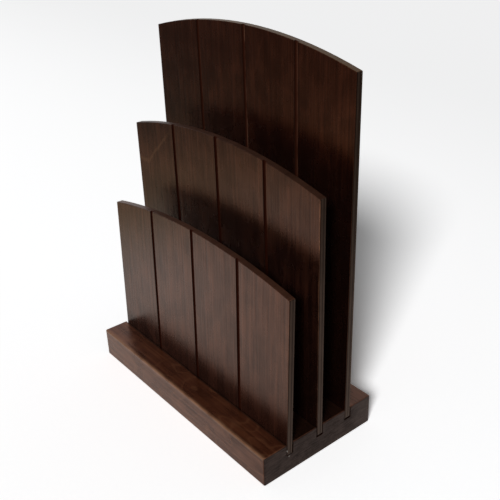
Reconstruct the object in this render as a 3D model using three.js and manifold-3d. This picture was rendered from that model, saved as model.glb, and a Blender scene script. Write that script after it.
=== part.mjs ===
// A periodical display rack for a desk or counter: a thick base board with three slots sawn along its
// top, and three arched plywood panels of rising height glued upright into the slots. Grooves down the
// front of each panel divide it into boards. The front panel leans back a little, in a slot cut to match.
// Millimetres, +Z up, panel fronts towards -Y. The origin is where the middle of the base meets the table.

import * as THREE from 'three';
import { mergeVertices } from 'three/addons/utils/BufferGeometryUtils.js';
import Module from 'manifold-3d';

// Base board
const BASE_LENGTH = 252;
const BASE_DEPTH = 123.5;
const BASE_THICKNESS = 29;
const BASE_CORNER_RADIUS = 1.5;
const BASE_EDGE_EASE = 1;

// Panels: flush with the base's +X end, with each crown measured along the panel from the top of the base
const PANEL_LENGTH = 248.5;
const PANEL_THICKNESS = 6;
const FRONT_CROWN = 149.4;
const MIDDLE_CROWN = 224.5;
const REAR_CROWN = 310;
const FLAT_ARCH_RADIUS = 590;
const ARCH_RADIUS = 490;
const TOP_CORNER_RADIUS = 1;
const CRISP_FOOT_RADIUS = 1;
const WORN_FOOT_RADIUS = 3;
const PANEL_EDGE_EASE = 0.3;
const FRONT_LEAN_DEGREES = 1.6;
const PANEL_CENTRE = (BASE_LENGTH - PANEL_LENGTH) / 2;

// Grooves down the front of each panel
const BOARDS_PER_PANEL = 4;
const GROOVE_WIDTH = 4;
const GROOVE_DEPTH = 1.6;

// Slots, and the way a panel stands in one: glue under its foot and along one face, slack behind
const SLOT_PITCH = 33.6;
const SLOT_DEPTH = 11;
const SLOT_SLACK = 1.2;
const GLUE_LINE = 0.3;
const SLOT_WIDTH = GLUE_LINE + PANEL_THICKNESS + SLOT_SLACK;

// Fineness of the curves, and how far a cut runs past the faces that it opens
const CURVE_SEGMENTS = 10;
const EASE_SEGMENTS = 2;
const CUT_OVERRUN = 2;

// Finish: walnut stain under satin lacquer, a little redder on the solid base
const PANEL_COLOUR = 0x52413a;
const BASE_COLOUR = 0x4a3026;
const LACQUER_ROUGHNESS = 0.35;

const QUARTER_TURN = Math.PI / 2;

const panels = [
  {
    name: 'front_panel',
    crown: FRONT_CROWN,
    archRadius: FLAT_ARCH_RADIUS,
    footRadius: CRISP_FOOT_RADIUS,
    lean: THREE.MathUtils.degToRad(FRONT_LEAN_DEGREES),
    gapInFront: GLUE_LINE,
    slotCentre: -SLOT_PITCH,
  },
  {
    name: 'middle_panel',
    crown: MIDDLE_CROWN,
    archRadius: ARCH_RADIUS,
    footRadius: WORN_FOOT_RADIUS,
    lean: 0,
    gapInFront: (GLUE_LINE + SLOT_SLACK) / 2,
    slotCentre: 0,
  },
  {
    name: 'rear_panel',
    crown: REAR_CROWN,
    archRadius: ARCH_RADIUS,
    footRadius: WORN_FOOT_RADIUS,
    lean: 0,
    gapInFront: GLUE_LINE,
    slotCentre: SLOT_PITCH,
  },
];

const wasm = await Module();
wasm.setup();

// A closed geometry as a solid that can be cut
function toSolid(geometry) {
  const bare = geometry.clone();
  bare.deleteAttribute('normal');
  bare.deleteAttribute('uv');
  const merged = mergeVertices(bare);
  const mesh = new wasm.Mesh({
    numProp: 3,
    vertProperties: merged.attributes.position.array,
    triVerts: new Uint32Array(merged.index.array),
  });
  return new wasm.Manifold(mesh);
}

// What is left of a geometry once the tools are cut out of it
function cutAway(geometry, tools) {
  const left = tools.reduce((solid, tool) => solid.subtract(toSolid(tool)), toSolid(geometry));
  const { vertProperties, triVerts } = left.getMesh();
  const result = new THREE.BufferGeometry();
  result.setAttribute('position', new THREE.BufferAttribute(vertProperties, 3));
  result.setIndex(new THREE.BufferAttribute(triVerts, 1));
  result.computeVertexNormals();
  return result;
}

// A plate of the given outline, from z = 0 up to its thickness, with its arrises eased
function easedPlate(outline, thickness, ease) {
  const plate = new THREE.ExtrudeGeometry(outline, {
    depth: thickness - 2 * ease,
    bevelThickness: ease,
    bevelSize: ease,
    bevelOffset: -ease,
    bevelSegments: EASE_SEGMENTS,
    curveSegments: CURVE_SEGMENTS,
  });
  return plate.translate(0, 0, ease);
}

// The base seen from above: a rectangle with rounded corners
function baseOutline() {
  const x = BASE_LENGTH / 2 - BASE_CORNER_RADIUS;
  const y = BASE_DEPTH / 2 - BASE_CORNER_RADIUS;
  const corners = [[x, y], [-x, y], [-x, -y], [x, -y]];
  const outline = new THREE.Shape();
  corners.forEach(([cx, cy], quarter) => {
    outline.absarc(cx, cy, BASE_CORNER_RADIUS, quarter * QUARTER_TURN, (quarter + 1) * QUARTER_TURN);
  });
  return outline;
}

// A panel seen from the front, foot at y = 0: straight sides, an arched top and four rounded corners,
// the upper two tangent to both the side and the arch
function panelOutline({ archRadius, footRadius }, height) {
  const r = TOP_CORNER_RADIUS;
  const topX = PANEL_LENGTH / 2 - r;
  const footX = PANEL_LENGTH / 2 - footRadius;
  const archCentre = height - archRadius;
  const shoulder = archCentre + Math.sqrt((archRadius - r) ** 2 - topX ** 2);
  const archStart = Math.atan2(shoulder - archCentre, topX);
  const outline = new THREE.Shape();
  outline.absarc(footX, footRadius, footRadius, -QUARTER_TURN, 0);
  outline.absarc(topX, shoulder, r, 0, archStart);
  outline.absarc(0, archCentre, archRadius, archStart, Math.PI - archStart);
  outline.absarc(-topX, shoulder, r, Math.PI - archStart, Math.PI);
  outline.absarc(-footX, footRadius, footRadius, Math.PI, Math.PI + QUARTER_TURN);
  return outline;
}

// A panel standing on z = 0 with its front on y = 0, grooved from foot to crown
function panelGeometry(panel, height) {
  const sheet = easedPlate(panelOutline(panel, height), PANEL_THICKNESS, PANEL_EDGE_EASE);
  sheet.rotateX(QUARTER_TURN);
  sheet.translate(0, PANEL_THICKNESS, 0);
  const grooves = [];
  for (let board = 1; board < BOARDS_PER_PANEL; board += 1) {
    const x = (board / BOARDS_PER_PANEL - 1 / 2) * PANEL_LENGTH;
    const groove = new THREE.BoxGeometry(GROOVE_WIDTH, 2 * GROOVE_DEPTH, height + 2 * CUT_OVERRUN);
    grooves.push(groove.translate(x, 0, height / 2));
  }
  return cutAway(sheet, grooves);
}

// The line along which a slot's front wall meets the top of the base
function slotMouth({ slotCentre }) {
  return new THREE.Vector3(0, slotCentre - SLOT_WIDTH / 2, BASE_THICKNESS);
}

// The cut that makes a panel's slot: right along the base, and leaning as the panel does
function slotCutter(panel) {
  const cutter = new THREE.BoxGeometry(BASE_LENGTH + 2 * CUT_OVERRUN, SLOT_WIDTH, SLOT_DEPTH + CUT_OVERRUN);
  cutter.translate(0, SLOT_WIDTH / 2, (CUT_OVERRUN - SLOT_DEPTH) / 2);
  cutter.rotateX(-panel.lean);
  return cutter.translate(...slotMouth(panel));
}

function lacquered(colour) {
  return new THREE.MeshStandardMaterial({ color: colour, roughness: LACQUER_ROUGHNESS, metalness: 0 });
}

function baseBoard() {
  const board = easedPlate(baseOutline(), BASE_THICKNESS, BASE_EDGE_EASE);
  const mesh = new THREE.Mesh(cutAway(board, panels.map(slotCutter)), lacquered(BASE_COLOUR));
  mesh.name = 'base_board';
  return mesh;
}

// A panel in its slot: the group carries the slot's place and lean, the mesh its glue gaps
function standingPanel(panel) {
  const foot = SLOT_DEPTH - GLUE_LINE;
  const mesh = new THREE.Mesh(panelGeometry(panel, foot + panel.crown), lacquered(PANEL_COLOUR));
  mesh.name = panel.name;
  mesh.position.set(PANEL_CENTRE, panel.gapInFront, -foot);
  const slot = new THREE.Group();
  slot.position.copy(slotMouth(panel));
  slot.rotation.x = -panel.lean;
  return slot.add(mesh);
}

const group = new THREE.Group();
group.name = 'periodical_display_rack';
group.add(baseBoard(), ...panels.map(standingPanel));

export default group;
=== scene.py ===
import math

import bmesh
import bpy
from mathutils import Matrix, Vector, noise


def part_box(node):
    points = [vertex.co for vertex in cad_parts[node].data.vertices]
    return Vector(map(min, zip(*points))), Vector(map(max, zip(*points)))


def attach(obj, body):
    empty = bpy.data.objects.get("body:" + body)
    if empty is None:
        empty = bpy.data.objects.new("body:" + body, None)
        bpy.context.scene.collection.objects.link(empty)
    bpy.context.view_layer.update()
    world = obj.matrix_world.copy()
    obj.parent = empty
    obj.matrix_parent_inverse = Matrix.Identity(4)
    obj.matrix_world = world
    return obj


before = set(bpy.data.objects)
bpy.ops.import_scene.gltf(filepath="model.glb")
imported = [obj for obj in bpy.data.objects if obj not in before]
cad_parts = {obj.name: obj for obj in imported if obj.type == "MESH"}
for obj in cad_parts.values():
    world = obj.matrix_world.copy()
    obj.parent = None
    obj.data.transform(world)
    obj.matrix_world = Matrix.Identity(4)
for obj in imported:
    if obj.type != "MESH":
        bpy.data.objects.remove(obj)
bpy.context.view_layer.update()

base_low, base_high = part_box("base_board")

# Sizes of the rack, in metres and radians
PANEL_THICKNESS = 0.006
GROOVE_DEPTH = 0.0016
GROOVE_PITCH = 0.062125
PANEL_HALF_LENGTH = 2 * GROOVE_PITCH
FRONT_LEAN = math.radians(1.6)

WHOLE, REVERSED = (0.0, 1.0), (1.0, 0.0)


def bearing(azimuth, elevation):
    """The direction from the rack towards something at that azimuth (0 is -Y, 90 is +X) and elevation."""
    flat = math.cos(elevation)
    return Vector((math.sin(azimuth) * flat, -math.cos(azimuth) * flat, math.sin(elevation)))


def link(obj):
    bpy.context.scene.collection.objects.link(obj)
    return obj


def mesh_object(name, mesh, material):
    """A new object from a bmesh, which is freed."""
    data = bpy.data.meshes.new(name)
    mesh.to_mesh(data)
    mesh.free()
    data.materials.append(material)
    return link(bpy.data.objects.new(name, data))


# Camera: its aim on the rack, its bearing from there, and its lens and sensor in millimetres

CAMERA_AIM = Vector((0.0394, 0.0, 0.16285))
CAMERA_DISTANCE = 0.63848
CAMERA_AZIMUTH = math.radians(51.534)
CAMERA_ELEVATION = math.radians(27.427)
CAMERA_ROLL = math.radians(-1.899)
CAMERA_LENS = 54.664
SENSOR_WIDTH = 36.0


def make_camera():
    data = bpy.data.cameras.new("camera")
    data.sensor_width = SENSOR_WIDTH
    data.lens = CAMERA_LENS
    camera = link(bpy.data.objects.new("camera", data))
    back = bearing(CAMERA_AZIMUTH, CAMERA_ELEVATION)
    level = (-back).to_track_quat("-Z", "Y").to_matrix().to_4x4()
    place = Matrix.Translation(CAMERA_AIM + back * CAMERA_DISTANCE)
    camera.matrix_world = place @ level @ Matrix.Rotation(CAMERA_ROLL, 4, "Z")
    bpy.context.scene.camera = camera


# Node building

class Graph:
    """Adds nodes to one node tree. An input is a plain value, or a socket to link from."""

    MIX_SHARE, MIX_A, MIX_B, MIX_RESULT = 0, 6, 7, 2  # the Mix node's sockets for colours

    def __init__(self, tree):
        self.tree = tree
        tree.nodes.clear()

    def node(self, kind, inputs=None, **settings):
        made = self.tree.nodes.new("ShaderNode" + kind)
        for name, value in settings.items():
            setattr(made, name, value)
        for name, value in (inputs or {}).items():
            if isinstance(value, bpy.types.NodeSocket):
                self.tree.links.new(value, made.inputs[name])
            else:
                made.inputs[name].default_value = value
        return made

    def coords(self):
        return self.node("TexCoord").outputs["Object"]

    def normal(self):
        return self.split(self.node("NewGeometry").outputs["Normal"])

    def split(self, vector):
        return self.node("SeparateXYZ", {0: vector}).outputs

    def math(self, operation, a, b=0.0):
        return self.node("Math", {0: a, 1: b}, operation=operation).outputs[0]

    def chain(self, operation, values):
        """One operation over all the values, from the first to the last."""
        result = values[0]
        for value in values[1:]:
            result = self.math(operation, result, value)
        return result

    def add(self, *terms):
        return self.chain("ADD", terms)

    def times(self, *factors):
        return self.chain("MULTIPLY", factors)

    def highest(self, *values):
        return self.chain("MAXIMUM", values)

    def absolute(self, value):
        return self.math("ABSOLUTE", value)

    def blend(self, values, weights):
        """The weighted sum of the values."""
        return self.add(*(self.times(value, weight) for value, weight in zip(values, weights)))

    def swing(self, value, amount):
        """A noise around a half as a change around zero, of that amount from end to end."""
        return self.times(self.add(value, -0.5), amount)

    def ramp(self, value, reach, to=WHOLE):
        """value carried smoothly from the reach's two ends to the two ends of to, and held at both."""
        inputs = {0: value, 1: reach[0], 2: reach[1], 3: to[0], 4: to[1]}
        return self.node("MapRange", inputs, interpolation_type="SMOOTHSTEP").outputs[0]

    def noise(self, vector, pattern, shift=(0.0, 0.0, 0.0)):
        """Noise in a pattern: its cycles per metre along X, Y and Z, its detail and its roughness."""
        cycles, detail, roughness = pattern
        place = self.node("Mapping", {"Vector": vector, "Scale": cycles, "Location": shift}).outputs[0]
        inputs = {"Vector": place, "Scale": 1.0, "Detail": detail, "Roughness": roughness}
        return self.node("TexNoise", inputs).outputs[0]

    def mix(self, share, a, b):
        inputs = {self.MIX_SHARE: share, self.MIX_A: a, self.MIX_B: b}
        return self.node("Mix", inputs, data_type="RGBA").outputs[self.MIX_RESULT]

    def scaled(self, colour, factor):
        return self.node("VectorMath", {0: colour, "Scale": factor}, operation="SCALE").outputs[0]

    def colours(self, value, stops):
        """A colour ramp: stops are (position, colour)."""
        made = self.node("ValToRGB", {0: value})
        elements = made.color_ramp.elements
        elements[0].position, elements[0].color = stops[0]
        elements[1].position, elements[1].color = stops[-1]
        for position, colour in stops[1:-1]:
            elements.new(position).color = colour
        return made.outputs[0]


def srgb(red, green, blue):
    """A colour read as 0 to 255 screen values, as the linear colour that a shader takes."""
    def linear(value):
        share = value / 255
        return share / 12.92 if share <= 0.04045 else ((share + 0.055) / 1.055) ** 2.4
    return (linear(red), linear(green), linear(blue), 1.0)


BUMP_HEIGHT = 0.0003
SURFACE_IOR = 1.5


def new_material(name):
    material = bpy.data.materials.new(name)
    material.use_nodes = True
    return material, Graph(material.node_tree)


def finish_material(g, relief, bump, surface):
    """Ends a material with one shader, whose inputs are named in surface, over a bumpy relief."""
    bumps = g.node("Bump", {"Strength": bump, "Distance": BUMP_HEIGHT, "Height": relief})
    shader = g.node("BsdfPrincipled", {**surface, "Normal": bumps.outputs[0], "IOR": SURFACE_IOR})
    g.node("OutputMaterial", {"Surface": shader.outputs[0]})


# What both woods share

GRAIN_STEPS = (0.36, 0.5, 0.64)  # the grain's values for its dark, middle and light tone
FIGURE_TURNS, FIGURE_CREST = 60.0, (0.8, 1.0)  # a sine's radians over the figure, and its crests
PORE_REACH = (0.35, 0.65)
ROUGHNESS_SWING = 0.1
WOOD_BUMP = 0.5
AMBER = (1.0, 0.32, 0.12, 1.0)  # tints reflections in the lacquer face on, and not at a low angle


def grain_colour(g, grain, tones):
    return g.colours(grain, list(zip(GRAIN_STEPS, tones)))


def crests(g, figure):
    """Thin lines that follow the contours of the wood's figure."""
    return g.ramp(g.math("SINE", g.times(figure, FIGURE_TURNS)), FIGURE_CREST)


def finish_wood(g, relief, colour, sheen):
    specular, roughness = sheen
    finish_material(g, relief, WOOD_BUMP, {
        "Base Color": colour, "Roughness": roughness,
        "Specular IOR Level": specular, "Specular Tint": AMBER})


# Stained plywood for the panels: its noises, and their weights in the grain, the pores and the relief

PANEL_FIBRE = ((1400, 50, 24), 3, 0.6)
PANEL_STREAK = ((430, 30, 6), 4, 0.6)
PANEL_BAND = ((55, 12, 2.4), 3, 0.5)
PANEL_MOTTLE = ((75, 20, 45), 3, 0.5)
PANEL_FIGURE = ((11, 4, 4), 2, 0.45)
PLY_FIBRE = ((120, 2600, 120), 5, 0.65)
SEED_STEP = (3.17, 1.31, 7.73)
PANEL_GRAIN = (0.25, 0.35, 0.2, 0.2, 0.05)  # fibre, streak, band, mottle and flame
PANEL_PORES = (0.35, 0.35, 0.3)  # fibre, streak and mottle, here and in the relief
PANEL_RELIEF = (0.5, 1.0, 1.0)

# How squarely the surface has to face to count as a panel's face, its back or its crown
FACE_TURN, BACK_TURN, CROWN_TURN = (0.55, 0.85), (0.5, 0.8), (0.6, 0.9)

# The cut edges: layers as shares of the thickness from the front, torn fibres, and painted shade that
# darkens them with height
PLY_DARK, PLY_MID, PLY_LIGHT = srgb(16, 10, 8), srgb(44, 34, 28), srgb(68, 55, 46)
PLY_STOPS = [
    (0.0, PLY_MID), (0.08, PLY_DARK), (0.17, PLY_DARK), (0.24, PLY_LIGHT), (0.56, PLY_MID),
    (0.62, PLY_DARK), (0.70, PLY_DARK), (0.76, PLY_LIGHT), (1.0, PLY_MID)]
PLY_TEAR, PLY_TEAR_SHARE = (0.35, 0.75), (-0.1, 0.5)
PLY_DIM_HEIGHT, PLY_HIGH_SHARE = (0.06, 0.2), 0.35

# One pale line of the figure: level as far as its start, then rising to the right until it ends
LINE_START_X, LINE_END_X, LINE_HEIGHT, LINE_SLOPE = -0.1078, -0.0638, 0.1857, 0.95
LINE_WAVER, LINE_WIDTH, LINE_FADE = 0.008, (0.003, 0.0005), 0.02
LINE_TONE = srgb(66, 44, 29)

# The panels' lighter backs, the wear on their +X arris, and painted shade low down, where a panel stands
# behind another
BACK_TONES = (srgb(34, 19, 13), srgb(54, 34, 25), srgb(80, 55, 42))
WEAR_X = (PANEL_HALF_LENGTH - 0.0011, PANEL_HALF_LENGTH - 0.0004)
WEAR_MOTTLE, WEAR_MOTTLE_SHARE = (0.42, 0.6), (0.1, 0.9)
WEAR_HEIGHT, WEAR_HEIGHT_SHARE = (0.09, 0.19), (0.4, 1.0)
WEAR_TONE = srgb(108, 76, 56)
PAINTED_SHADE_FADE, PAINTED_SHADE_TONE = 0.08, srgb(10, 4, 3)

# The grooves, measured off a groove's middle, into the panel, and out from the panel's middle
GROOVE_SIDE = (0.0026, 0.0023)
GROOVE_MOUTH = (0.0003, 0.0006)
GROOVE_BED = (GROOVE_DEPTH + 0.0006, GROOVE_DEPTH + 0.0003)
GROOVES_END = (0.119, 0.117)
TORN_SIDE, TORN_MOTTLE = (0.0009, 0.0005), (0.3, 0.52)
TORN_OUT, TORN_OUT_SHARE = (0.02, 0.05), (1.0, 0.35)

# The lacquer's shine: rubbed dull on the left board below some height, and dusty along the foot
RUBBED_X, RUBBED_FADE, RUBBED_SHARE = (-0.056, -0.066), 0.055, (1.0, 0.55)
DUST_HEIGHT, DUST_X, DUST_SHARE = (0.036, 0.014), (0.08, 0.03), (1.0, 0.45)
PANEL_SPECULAR, PANEL_PORE_SHARE = (0.1, 0.5), (0.62, 1.38)
PANEL_ROUGHNESS = (0.4, 0.27)

# Each panel's stained tones, its groove tones and torn line (the rear's pale line partly a painted
# highlight), its crown, how dark its plies are at the foot under their painted shade, its share of the
# pale line, and its marks: wear, rubbed shine and painted shade low down
BROWN = (srgb(13, 4, 3), srgb(22, 9, 6), srgb(42, 21, 14))
RED = (srgb(13, 3, 2), srgb(23, 7, 4), srgb(42, 18, 10))
STAINED_GROOVE = (srgb(38, 14, 7), srgb(40, 15, 8))
# the rear panel's grooves: paler, their torn line partly a painted highlight
PALE_GROOVE_AND_HIGHLIGHT = (srgb(46, 21, 13), srgb(92, 62, 48))
DARK_CROWN = (srgb(34, 19, 13), srgb(54, 35, 26))
PALE_CROWN = (srgb(52, 36, 14), srgb(76, 53, 22))
PANEL_LOOKS = {
    "front_panel": {
        "seed": 1, "lean": FRONT_LEAN, "tones": BROWN, "groove": STAINED_GROOVE,
        "crown": DARK_CROWN, "crown_gloss": 1.0, "low_ply": -0.1, "line": 0.0,
        "wear": 0.4, "painted_shade": 0.0, "painted_shade_to": 0.0, "rubbed_to": 0.0},
    "middle_panel": {
        "seed": 2, "lean": 0.0, "tones": BROWN, "groove": STAINED_GROOVE,
        "crown": DARK_CROWN, "crown_gloss": 0.25, "low_ply": -0.27, "line": 0.55,
        "wear": 0.8, "painted_shade": 0.6, "painted_shade_to": 0.13, "rubbed_to": 0.203},
    "rear_panel": {
        "seed": 3, "lean": 0.0, "tones": RED, "groove": PALE_GROOVE_AND_HIGHLIGHT,
        "crown": PALE_CROWN, "crown_gloss": 0.0, "low_ply": -0.2, "line": 0.0,
        "wear": 0.0, "painted_shade": 0.8, "painted_shade_to": 0.27, "rubbed_to": 0.0}}


def panel_coords(g, node_name, lean):
    """Coordinates on a panel: X from its middle, Y from its front backwards, Z up its slope."""
    low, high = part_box(node_name)
    foot = ((low.x + high.x) / 2, low.y, low.z + PANEL_THICKNESS * math.sin(lean))
    inputs = {"Vector": g.coords(), "Location": foot, "Rotation": (-lean, 0, 0)}
    return g.node("Mapping", inputs, vector_type="TEXTURE").outputs[0]


class Panel:
    """One panel's coordinates, the ways its surface faces, and the noises of its veneer."""

    def __init__(self, g, node_name, look):
        local = panel_coords(g, node_name, look["lean"])
        self.x, self.depth, self.height = g.split(local)
        _, backwards, upwards = g.normal()
        self.on_face = g.ramp(g.absolute(backwards), FACE_TURN)
        self.on_back = g.ramp(backwards, BACK_TURN)
        self.on_crown = g.ramp(g.absolute(upwards), CROWN_TURN)
        shift = tuple(look["seed"] * step for step in SEED_STEP)
        self.fibre = g.noise(local, PANEL_FIBRE, shift)
        self.streak = g.noise(local, PANEL_STREAK, shift)
        self.band = g.noise(local, PANEL_BAND, shift)
        self.mottle = g.noise(local, PANEL_MOTTLE, shift)
        self.flame = crests(g, g.noise(local, PANEL_FIGURE, shift))
        self.ply_fibre = g.noise(local, PLY_FIBRE, shift)


def plies(g, panel, low_share):
    """The cut edge of plywood: two dark glue lines and paler veneers, under painted shade that darkens
    them towards the top.
    """
    layers = g.colours(g.math("DIVIDE", panel.depth, PANEL_THICKNESS), PLY_STOPS)
    torn = g.ramp(panel.ply_fibre, PLY_TEAR, PLY_TEAR_SHARE)
    # painted shade: the cut edges darker higher up
    painted_dimming = g.ramp(panel.height, PLY_DIM_HEIGHT, (low_share, PLY_HIGH_SHARE))
    return g.mix(g.add(torn, painted_dimming), layers, PLY_DARK)


def figure_line(g, panel, share):
    """Where the pale line of the figure is, at that share of its tone."""
    along = g.highest(g.add(panel.x, -LINE_START_X), 0.0)
    waver = g.swing(panel.mottle, LINE_WAVER)
    away = g.absolute(g.add(panel.height, g.times(along, -LINE_SLOPE), waver, -LINE_HEIGHT))
    fade = g.ramp(panel.x, (LINE_END_X, LINE_END_X - LINE_FADE), (0.0, share))
    return g.times(g.ramp(away, LINE_WIDTH), fade)


def veneer(g, panel, look):
    """The faces: upright grain in the panel's tones, a lighter back, a worn arris and painted shade low
    down.
    """
    noises = (panel.fibre, panel.streak, panel.band, panel.mottle, panel.flame)
    grain = g.blend(noises, PANEL_GRAIN)
    back = grain_colour(g, grain, BACK_TONES)
    colour = g.mix(panel.on_back, grain_colour(g, grain, look["tones"]), back)
    colour = g.mix(figure_line(g, panel, look["line"]), colour, LINE_TONE)
    worn = g.times(g.ramp(panel.x, WEAR_X), g.ramp(panel.mottle, WEAR_MOTTLE, WEAR_MOTTLE_SHARE),
                   g.ramp(panel.height, WEAR_HEIGHT, WEAR_HEIGHT_SHARE), look["wear"])
    colour = g.mix(worn, colour, WEAR_TONE)
    # painted shade: darker low down, where the panel stands behind another
    low = g.ramp(panel.height, (look["painted_shade_to"], look["painted_shade_to"] - PAINTED_SHADE_FADE))
    return g.mix(g.times(low, look["painted_shade"]), colour, PAINTED_SHADE_TONE)


def grooves(g, panel, tones):
    """Where the grooves are, and their colour: stained, with a line where the cutter tore the middle,
    which on the rear panel is pale and partly a painted highlight.
    """
    off_centre = g.math("PINGPONG", panel.x, GROOVE_PITCH / 2)
    out = g.absolute(panel.x)
    inside = g.times(g.ramp(off_centre, GROOVE_SIDE), g.ramp(panel.depth, GROOVE_MOUTH),
                     g.ramp(panel.depth, GROOVE_BED), g.ramp(out, GROOVES_END))
    # the torn line; on the rear panel partly a painted highlight, for the light that a groove's side
    # catches
    torn = g.times(g.ramp(off_centre, TORN_SIDE), g.ramp(panel.mottle, TORN_MOTTLE),
                   g.ramp(out, TORN_OUT, TORN_OUT_SHARE))
    return inside, g.mix(torn, *tones)


def panel_sheen(g, panel, in_groove, look):
    """The lacquer's specular level and roughness: the faces shine, and the grooves and edges are matt."""
    lacquer = g.times(panel.on_face, g.math("SUBTRACT", 1.0, in_groove))
    gloss = g.highest(lacquer, g.times(panel.on_crown, look["crown_gloss"]))
    pores = g.blend((panel.fibre, panel.streak, panel.mottle), PANEL_PORES)
    low = g.ramp(panel.height, (look["rubbed_to"], look["rubbed_to"] - RUBBED_FADE))
    rubbed = g.times(g.ramp(panel.x, RUBBED_X), low)
    dusty = g.times(g.ramp(panel.height, DUST_HEIGHT), g.ramp(panel.x, DUST_X))
    specular = g.times(
        g.ramp(gloss, WHOLE, PANEL_SPECULAR), g.ramp(pores, PORE_REACH, PANEL_PORE_SHARE),
        g.ramp(rubbed, WHOLE, RUBBED_SHARE), g.ramp(dusty, WHOLE, DUST_SHARE))
    roughness = g.ramp(lacquer, WHOLE, PANEL_ROUGHNESS)
    return specular, g.add(roughness, g.swing(panel.mottle, ROUGHNESS_SWING))


def plywood(node_name, look):
    """Lacquered plywood: grain on the faces, plies down the sides, one brown on top, stained grooves."""
    material, g = new_material(node_name + "_plywood")
    panel = Panel(g, node_name, look)
    crown = g.mix(panel.mottle, *look["crown"])
    edges = g.mix(panel.on_crown, plies(g, panel, look["low_ply"]), crown)
    colour = g.mix(panel.on_face, edges, veneer(g, panel, look))
    in_groove, groove_colour = grooves(g, panel, look["groove"])
    colour = g.mix(in_groove, colour, groove_colour)
    relief = g.blend((panel.fibre, panel.streak, panel.mottle), PANEL_RELIEF)
    finish_wood(g, relief, colour, panel_sheen(g, panel, in_groove, look))
    return material


# Stained solid wood for the base: its noises, and their weights in the grain, the pores and the relief

BASE_FIBRE = ((24, 1200, 1200), 3, 0.6)
BASE_STREAK = ((10, 330, 330), 4, 0.6)
BASE_MOTTLE = ((45, 75, 75), 3, 0.5)
BASE_FIGURE = ((16, 24, 24), 2, 0.45)
END_FIBRE = ((300, 90, 900), 5, 0.65)
BASE_GRAIN = (0.3, 0.35, 0.35)  # fibre, streak and mottle, here and in the pores
BASE_PORES = (0.3, 0.4, 0.3)
BASE_RELIEF = (0.5, 1.0, 0.5, 0.5)  # fibre, streak, mottle and end fibre
END_GRAIN = (0.8, 0.2)  # end fibre and mottle

# How squarely the surface has to face to count as an end, and how little to count as an arris
END_TURN, ARRIS_TURN = (0.3, 0.6), (0.98, 0.8)

BASE_TONES = (srgb(42, 19, 10), srgb(54, 26, 14), srgb(76, 43, 26))
ARC_SHARE, ARC_TONE = 0.35, srgb(92, 58, 38)
END_STOPS = [(0.36, srgb(20, 15, 14)), (0.62, srgb(56, 46, 43))]
PALE_END_Y, PALE_END_SHARE, PALE_END_TONE = (0.034, 0.05), (0.0, 0.3), srgb(80, 70, 67)

# Painted shade behind the front ledge, in the slots and pockets, and paler on the back ledge
LEDGE_END_Y, BACK_LEDGE_Y = -0.0384, 0.0375
POCKET_FRONT_Y = (LEDGE_END_Y - 0.0006, LEDGE_END_Y)
POCKET_BACK_Y = (base_high.y - 0.0005, base_high.y - 0.0012)
POCKET_Z, POCKET_SHADE_SHARE, PAINTED_POCKET_SHADE = (0.012, 0.015), 0.9, srgb(18, 10, 7)
BACK_LEDGE_EDGE, PAINTED_BACK_LEDGE_SHADE = (BACK_LEDGE_Y - 0.002, BACK_LEDGE_Y), srgb(34, 23, 20)

# The front ledge's rubbed arrises, partly a painted highlight, and painted shade along the table
FRONT_EDGE_Z = (base_high.z - 0.0035, base_high.z)
FRONT_EDGE_Y = (base_low.y + 0.00375, base_low.y + 0.00035)
LEDGE_Y = (LEDGE_END_Y, LEDGE_END_Y - 0.004)
LEDGE_MOTTLE, LEDGE_MOTTLE_SHARE, LEDGE_WEAR_AND_HIGHLIGHT = (0.35, 0.65), (0.35, 0.75), srgb(120, 91, 69)
CONTACT_SHADE_Z, PAINTED_CONTACT_SHADE = (0.003, 0.0015), srgb(20, 12, 9)

# The base's shine: less on the ends, more on top, and less again towards +X
BASE_SPECULAR, BASE_PORE_SHARE, BASE_ROUGHNESS = (0.45, 0.12), (0.5, 1.5), (0.28, 0.42)
TOP_SHARE = (1.0, 1.4)
DULL_X, DULL_SHARE = (0.03, base_high.x), (0.55, 0.9)


class Board:
    """The base's coordinates, the ways its surface faces, and the noises of its wood."""

    def __init__(self, g):
        coords = g.coords()
        self.x, self.y, self.z = g.split(coords)
        endways, sideways, upwards = (g.absolute(part) for part in g.normal())
        self.on_end = g.ramp(endways, END_TURN)
        self.on_top = upwards
        self.arris = g.ramp(g.highest(endways, sideways, upwards), ARRIS_TURN)
        self.fibre = g.noise(coords, BASE_FIBRE)
        self.streak = g.noise(coords, BASE_STREAK)
        self.mottle = g.noise(coords, BASE_MOTTLE)
        self.arcs = crests(g, g.noise(coords, BASE_FIGURE))
        self.end_fibre = g.noise(coords, END_FIBRE)


def long_grain(g, board):
    """The long faces: streaks along X with pale arcs, and painted shade from the front panel back."""
    grain = g.blend((board.fibre, board.streak, board.mottle), BASE_GRAIN)
    colour = g.mix(g.times(board.arcs, ARC_SHARE), grain_colour(g, grain, BASE_TONES), ARC_TONE)
    in_pocket = g.times(g.ramp(board.y, POCKET_FRONT_Y), g.ramp(board.y, POCKET_BACK_Y),
                        g.ramp(board.z, POCKET_Z))
    # painted shade between the panels and on the back ledge
    pocket_shade = g.mix(g.ramp(board.y, BACK_LEDGE_EDGE), PAINTED_POCKET_SHADE, PAINTED_BACK_LEDGE_SHADE)
    return g.mix(g.times(in_pocket, POCKET_SHADE_SHARE), colour, pocket_shade)


def end_grain(g, board):
    """The sawn ends: dark, and paler towards the back."""
    cut = g.colours(g.blend((board.end_fibre, board.mottle), END_GRAIN), END_STOPS)
    return g.mix(g.ramp(board.y, PALE_END_Y, PALE_END_SHARE), cut, PALE_END_TONE)


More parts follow.
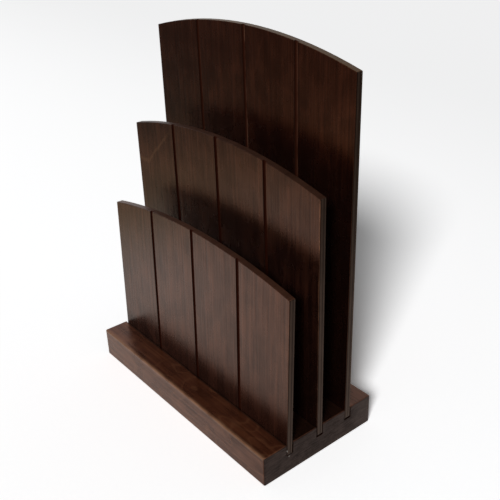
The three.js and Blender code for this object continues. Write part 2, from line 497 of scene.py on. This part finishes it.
def arris_wear_and_painted_light(g, board, colour):
    """The colour with the front ledge's arrises rubbed pale, partly as a painted highlight, and painted
    shade on the bottom ones along the table.
    """
    front_edge = g.times(g.ramp(board.z, FRONT_EDGE_Z), g.ramp(board.y, FRONT_EDGE_Y))
    # rubbed pale: wear, and in part a painted highlight on the front ledge's arrises
    rubbed = g.times(g.highest(board.arris, front_edge),
                     g.ramp(board.mottle, LEDGE_MOTTLE, LEDGE_MOTTLE_SHARE),
                     g.ramp(board.y, LEDGE_Y), g.ramp(board.on_end, REVERSED))
    # painted shade on the bottom arrises, where the base meets the table
    contact_shade = g.times(board.arris, g.ramp(board.z, CONTACT_SHADE_Z))
    return g.mix(contact_shade, g.mix(rubbed, colour, LEDGE_WEAR_AND_HIGHLIGHT), PAINTED_CONTACT_SHADE)


def base_sheen(g, board):
    """The lacquer's specular level and roughness."""
    pores = g.blend((board.fibre, board.streak, board.mottle), BASE_PORES)
    dull_share = g.ramp(board.on_top, WHOLE, DULL_SHARE)
    specular = g.times(
        g.ramp(board.on_end, WHOLE, BASE_SPECULAR), g.ramp(pores, PORE_REACH, BASE_PORE_SHARE),
        g.ramp(board.x, DULL_X, (1.0, dull_share)), g.ramp(board.on_top, WHOLE, TOP_SHARE))
    roughness = g.ramp(board.on_end, WHOLE, BASE_ROUGHNESS)
    return specular, g.add(roughness, g.swing(board.mottle, ROUGHNESS_SWING))


def solid_wood(name):
    """Lacquered solid wood with its grain along X: long streaks, a soft figure, and dark end grain."""
    material, g = new_material(name)
    board = Board(g)
    colour = g.mix(board.on_end, long_grain(g, board), end_grain(g, board))
    cut = g.times(board.on_end, board.end_fibre)
    relief = g.blend((board.fibre, board.streak, board.mottle, cut), BASE_RELIEF)
    finish_wood(g, relief, arris_wear_and_painted_light(g, board, colour), base_sheen(g, board))
    return material


# Dried glue at the near end of the front slot

GLUE_SPECKS = (  # place on the base's end across and up, and radius
    (-0.0369, 0.0232, 0.00042), (-0.0367, 0.0222, 0.0003),
    (-0.0349, 0.0163, 0.00036), (-0.0340, 0.0164, 0.00026))
SPECK_SUBDIVISIONS = 3
SPECK_FLATTENING, SPECK_SAG = 0.4, 1.2
SWELLING, SWELLING_CYCLES, SWELLING_SHIFT = 0.35, 1800, 500
GLUE_CLOUD = ((900, 900, 900), 4, 0.6)
GLUE_STOPS = [(0.3, srgb(70, 60, 54)), (0.65, srgb(170, 165, 156))]
GLUE_REACH, GLUE_ROUGHNESS = (0.3, 0.7), (0.3, 0.5)
GLUE_BUMP = 0.3


def dried_glue():
    material, g = new_material("dried_glue")
    cloud = g.noise(g.coords(), GLUE_CLOUD)
    finish_material(g, cloud, GLUE_BUMP, {
        "Base Color": g.colours(cloud, GLUE_STOPS),
        "Roughness": g.ramp(cloud, GLUE_REACH, GLUE_ROUGHNESS)})
    return material


def glue_specks():
    """Small flattened drops squeezed out of the joint, one mesh."""
    mesh = bmesh.new()
    for across, up, radius in GLUE_SPECKS:
        centre = Vector((base_high.x, across, up))
        ball = bmesh.ops.create_icosphere(mesh, subdivisions=SPECK_SUBDIVISIONS, radius=radius)
        for vert in ball["verts"]:
            swell = 1 + SWELLING * noise.noise(vert.co * SWELLING_CYCLES + centre * SWELLING_SHIFT)
            stretch = Vector((SPECK_FLATTENING, swell, swell * SPECK_SAG))
            vert.co = vert.co * stretch + centre
    specks = mesh_object("glue_specks", mesh, dried_glue())
    specks.data.shade_smooth()
    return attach(specks, "root")


# Floor: its brightness to the camera, in the lacquer, and as light thrown back on the wood

FLOOR_SEEN, FLOOR_MIRRORED, FLOOR_BOUNCE = 1.64, 2.42, 0.95
FLOOR_HALF = 12.0
PAPER = ((300, 300, 300), 5, 0.6)
PAPER_STOPS = [(0.3, (0.97, 0.975, 0.985, 1)), (0.7, (1, 1, 1, 1))]
FADE_Y, FADE_NEAR, FADE_FAR = (-0.1, 1.1), (1.08, 1.08, 1.08, 1), (0.93, 0.93, 0.93, 1)

# What the lacquer mirrors: a bright pool, dimmer at the rack's foot, and a grey patch on the left
POOL_CENTRE = (0.10, -0.08, 0.0)
POOL_REACH = 1.4
POOL = (  # metres from the pool's centre, and the share of the floor's light that the lacquer mirrors
    (0.20, (1.0, 0.95, 0.89)), (0.30, (1.0, 0.97, 0.92)), (0.37, (0.92, 0.90, 0.86)),
    (0.47, (0.72, 0.69, 0.60)), (0.55, (0.46, 0.40, 0.27)), (0.68, (0.46, 0.33, 0.21)),
    (0.73, (0.28, 0.22, 0.18)), (0.85, (0.175, 0.14, 0.10)), (1.0, (0.125, 0.09, 0.055)),
    (1.4, (0.10, 0.062, 0.048)))
FOOT_Y, FOOT_SHARE = (-0.16, -0.06), 0.66
PATCH_X, PATCH_Y, PATCH_TONE = (-0.74, -0.86), (-0.6, -0.5), (0.10, 0.135, 0.12, 1)
BEHIND_X, BEHIND_Y = (0.0, -0.25), (0.0, 0.25)


def mirrored_floor(g, coords, seen):
    """The floor in the lacquer: a pool that fades from the rack, but behind it on the left as seen."""
    x, y, _ = g.split(coords)
    distance = g.node("VectorMath", {0: coords, 1: POOL_CENTRE}, operation="DISTANCE").outputs["Value"]
    stops = [(reach / POOL_REACH, (*tone, 1)) for reach, tone in POOL]
    pool = g.colours(g.math("DIVIDE", distance, POOL_REACH), stops)
    pool = g.mix(g.times(g.ramp(y, PATCH_Y), g.ramp(x, PATCH_X)), pool, PATCH_TONE)
    strength = g.ramp(y, FOOT_Y, (FLOOR_MIRRORED, FLOOR_MIRRORED * FOOT_SHARE))
    behind = g.times(g.ramp(y, BEHIND_Y), g.ramp(x, BEHIND_X))
    return g.mix(behind, g.scaled(pool, strength), seen)


def pale_floor():
    """White paper, a little darker far away as a painted falloff of the light."""
    material, g = new_material("pale_floor")
    coords = g.coords()
    path = g.node("LightPath").outputs
    white = g.colours(g.noise(coords, PAPER), PAPER_STOPS)
    # painted falloff of the light: darker far away
    fade = g.mix(g.ramp(g.split(coords)[1], FADE_Y), FADE_NEAR, FADE_FAR)
    faded = g.node("VectorMath", {0: white, 1: fade}, operation="MULTIPLY").outputs[0]
    seen = g.scaled(faded, FLOOR_SEEN)
    shown = g.mix(path["Is Glossy Ray"], seen, mirrored_floor(g, coords, seen))
    colour = g.mix(path["Is Diffuse Ray"], shown, g.scaled(white, FLOOR_BOUNCE))
    shader = g.node("BsdfDiffuse", {"Color": colour})
    g.node("OutputMaterial", {"Surface": shader.outputs[0]})
    return material


def make_floor():
    mesh = bmesh.new()
    bmesh.ops.create_grid(mesh, x_segments=1, y_segments=1, size=FLOOR_HALF)
    floor = mesh_object("floor", mesh, pale_floor())


# Light and room

KEY_AZIMUTH, KEY_ELEVATION, KEY_WIDTH = math.radians(34.0), math.radians(34.0), math.radians(15.0)
KEY_STRENGTH = 2.5
ROOM_SEEN, ROOM_ON_WOOD = 0.95, 0.13
WALL_RISE, WALL_MIRRORED = (0.1, 0.5), (0.3, 0.95)
BACKDROP, BACKDROP_EDGE, BACKDROP_MIRRORED = (-0.78, 0.62, 0.0), (0.6, 0.85), (0.0, 0.8)


def make_key():
    data = bpy.data.lights.new("key", "SUN")
    data.energy = KEY_STRENGTH
    data.angle = KEY_WIDTH
    key = link(bpy.data.objects.new("key", data))
    away = bearing(KEY_AZIMUTH, KEY_ELEVATION)
    key.location = away
    key.rotation_mode = "QUATERNION"
    key.rotation_quaternion = (-away).to_track_quat("-Z", "Y")


def make_room():
    """Plain soft light from all round. The lacquer mirrors paler walls above, and a pale backdrop."""
    world = bpy.data.worlds.new("room")
    bpy.context.scene.world = world
    world.use_nodes = True
    g = Graph(world.node_tree)
    path = g.node("LightPath").outputs
    towards = g.node("TexCoord").outputs["Generated"]
    walls = g.ramp(g.split(towards)[2], WALL_RISE, WALL_MIRRORED)
    facing = g.node("VectorMath", {0: towards, 1: BACKDROP}, operation="DOT_PRODUCT").outputs["Value"]
    backdrop = g.ramp(facing, BACKDROP_EDGE, BACKDROP_MIRRORED)
    mirrored = g.times(path["Is Glossy Ray"], g.highest(walls, backdrop))
    seen = g.times(g.highest(path["Is Camera Ray"], path["Is Transmission Ray"]), ROOM_SEEN)
    ambient = g.times(path["Is Diffuse Ray"], ROOM_ON_WOOD)
    strength = g.highest(mirrored, seen, ambient)
    room = g.node("Background", {"Color": (1, 1, 1, 1), "Strength": strength})
    g.node("OutputWorld", {"Surface": room.outputs[0]})


# The scene

def dress(node_name, material):
    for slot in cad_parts[node_name].material_slots:
        slot.material = material


make_camera()
for panel_name, panel_look in PANEL_LOOKS.items():
    dress(panel_name, plywood(panel_name, panel_look))
dress("base_board", solid_wood("base_wood"))
glue_specks()
make_floor()
make_key()
make_room()

bpy.context.scene.view_settings.view_transform = "Standard"
